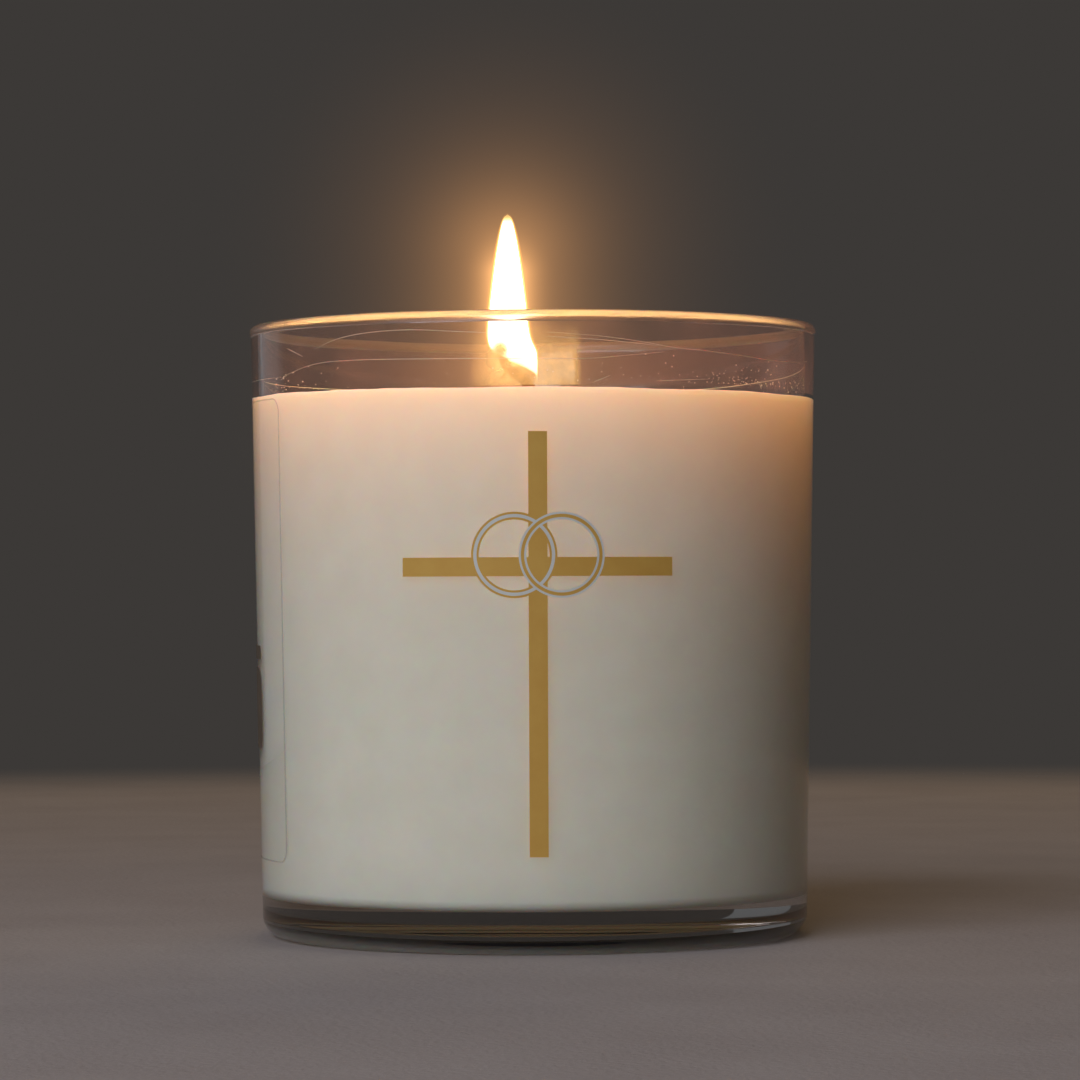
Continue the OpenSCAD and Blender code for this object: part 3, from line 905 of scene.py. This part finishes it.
# Specks of wax: (middle and spread of the angle in degrees, spread of the height in mm, how many)
WAX_SPECKS = [(46, 9, 1.1, 90), (30, 25, 2.4, 40), (-58, 5, 1.3, 22), (180, 80, 1.5, 90)]


def between(before, here, there, after, t):
    """A smooth curve through four values, from the second to the third as t goes from 0 to 1."""
    leaving = (there - before) / 2
    arriving = (after - here) / 2
    rise = there - here
    squared = 3 * rise - 2 * leaving - arriving
    cubed = leaving + arriving - 2 * rise
    return here + leaving * t + squared * t ** 2 + cubed * t ** 3


def make_residue():
    """What the melt left on the glass: a thin tide line round the inside, a few streaks and specks of wax."""
    f = Finish("wax_residue")
    shader = f.principled(
        Base_Color=f.blend(f.speckle(1 * MM), (0.80, 0.62, 0.42), (0.90, 0.76, 0.58)), Roughness=0.45,
        Subsurface_Weight=0.3, Subsurface_Scale=0.5 * MM)
    material = f.done(shader)
    rng = random.Random(7)
    bm = bmesh.new()

    def on_wall(turn, z, inset=0.02 * MM):
        r = cup_r(z) - inset
        return Vector((r * math.cos(turn), r * math.sin(turn), z))

    for trace in WAX_TRACES:
        ends = [trace[0], *trace, trace[-1]]
        points = []
        for before, here, there, after in zip(ends, ends[1:], ends[2:], ends[3:]):
            steps = max(6, round((there[0] - here[0]) / 1.5))
            for i in range(steps):
                turn, rise = (between(*four, i / steps) for four in zip(before, here, there, after))
                points.append(on_wall(math.radians(turn - 90), WAX_Z + rise * MM))
        sweep(bm, points, lambda share: 0.045 * MM * (0.3 + 0.7 * math.sin(math.pi * share)), 6,
              aside=Vector((0, 0, 1)))
    for middle, spread, rise, count in WAX_SPECKS:
        for _ in range(count):
            turn = math.radians(rng.gauss(middle, spread) - 90)
            z = WAX_Z + (0.35 + abs(rng.gauss(0, rise))) * MM
            if z > GLASS_H - 3 * MM:
                continue
            size = rng.uniform(0.035, 0.09) * MM * (1.8 if rng.random() < 0.05 else 1)
            made = bmesh.ops.create_icosphere(bm, subdivisions=2, radius=size)
            for vert in made["verts"]:
                vert.co = on_wall(turn, z) + vert.co * (1 + 0.2 * rng.uniform(-1, 1))
    residue = finish_mesh("wax_residue_on_glass", bm, material)
    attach(residue, "root")


# How wide the line of the label's cut edge is
EDGE_W = 0.22 * MM


def make_label_edge():
    """A painted darker line round the left side, along the cut edge of the clear film: it stands for the
    light bent at that edge.
    """
    half_h = (LABEL_TOP_Z - LABEL_FOOT_Z) / 2
    middle_z = (LABEL_TOP_Z + LABEL_FOOT_Z) / 2
    mean_r = wall_r(middle_z)

    def outline(inset):
        """Points (distance along the wall, height) round the label, inset from its edge."""
        corner = LABEL_CORNER_R - inset
        w = LABEL_W / 2 - LABEL_CORNER_R
        h = half_h - LABEL_CORNER_R
        corners = [arc(w, h, corner, 0, 90, 8), arc(-w, h, corner, 90, 180, 8)]
        corners += [arc(-w, -h, corner, 180, 270, 8), arc(w, -h, corner, 270, 360, 8)]
        points = []
        for here, there in zip(corners, corners[1:] + corners[:1]):
            points += here + line(here[-1], there[0], 40)
        return points

    def on_glass(along, up, rise):
        z = middle_z + up
        turn = LABEL_FACING + along / mean_r
        r = wall_r(z) + rise
        return Vector((r * math.cos(turn), r * math.sin(turn), z))

    low = 0.005 * MM
    bm = bmesh.new()
    around = ((0, low), (0, FILM_T), (EDGE_W, FILM_T), (EDGE_W, low))
    join_rings(bm, [[on_glass(x, z, rise) for x, z in outline(inset)] for inset, rise in around], loop=True)
    # The edge's grey-brown gloss is painted shade, for the light that the cut edge bends
    edge = finish_mesh("label_cut_edge", bm, clear_film("label_edge", (0.45, 0.38, 0.32), 0.13))
    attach(edge, "root")


def dress(node, material, shades=True):
    """Gives a CAD node that stays in view its own material. shades says whether it casts a shadow."""
    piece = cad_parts[node]
    piece.visible_shadow = shades
    for holder in piece.material_slots:
        holder.material = material
    if not piece.material_slots:
        piece.data.materials.append(material)


make_glass()
make_wax()
make_pool()
make_burnt_wick()
make_flame()
add_halo("halo_near", reach=9 * MM, foot=0.1, tip=0.62, glows=[(1000, 1.2 * MM)])
add_halo("halo_far", reach=48 * MM, foot=0.05, tip=0.75, glows=[(46, 5 * MM), (2.2, 14 * MM)])
make_residue()
make_label_edge()

GOLD = print_ink("gold_print", (0.95, 0.53, 0.105), (0.99, 0.58, 0.12), metal=0.1, rough=0.45)
SILVER = print_ink("silver_print", (0.99, 0.97, 0.82), (1.0, 1.0, 0.86), metal=0.05, rough=0.4)
for name in ("gold_cross", "left_ring_gold", "right_ring_gold"):
    dress(name, GOLD, shades=False)
for name in ("left_ring_silver", "right_ring_silver"):
    dress(name, SILVER, shades=False)
dress("label_print", print_ink("label_ink", (0.15, 0.11, 0.065), (0.18, 0.13, 0.08), metal=0.0, rough=0.5))
dress("clear_label", clear_film("clear_film", (0.8, 0.8, 0.8), 0.02))
dress("wick_sustainer", tinned_steel())
dress("wick_braid", cotton_braid())
dress("wick_core", paper("paper_core", (0.93, 0.90, 0.84), (0.80, 0.76, 0.68), 0.4 * MM))
dress("wick_sticker", paper("adhesive_disc", (0.90, 0.90, 0.86), (0.82, 0.81, 0.76), 1.5 * MM))
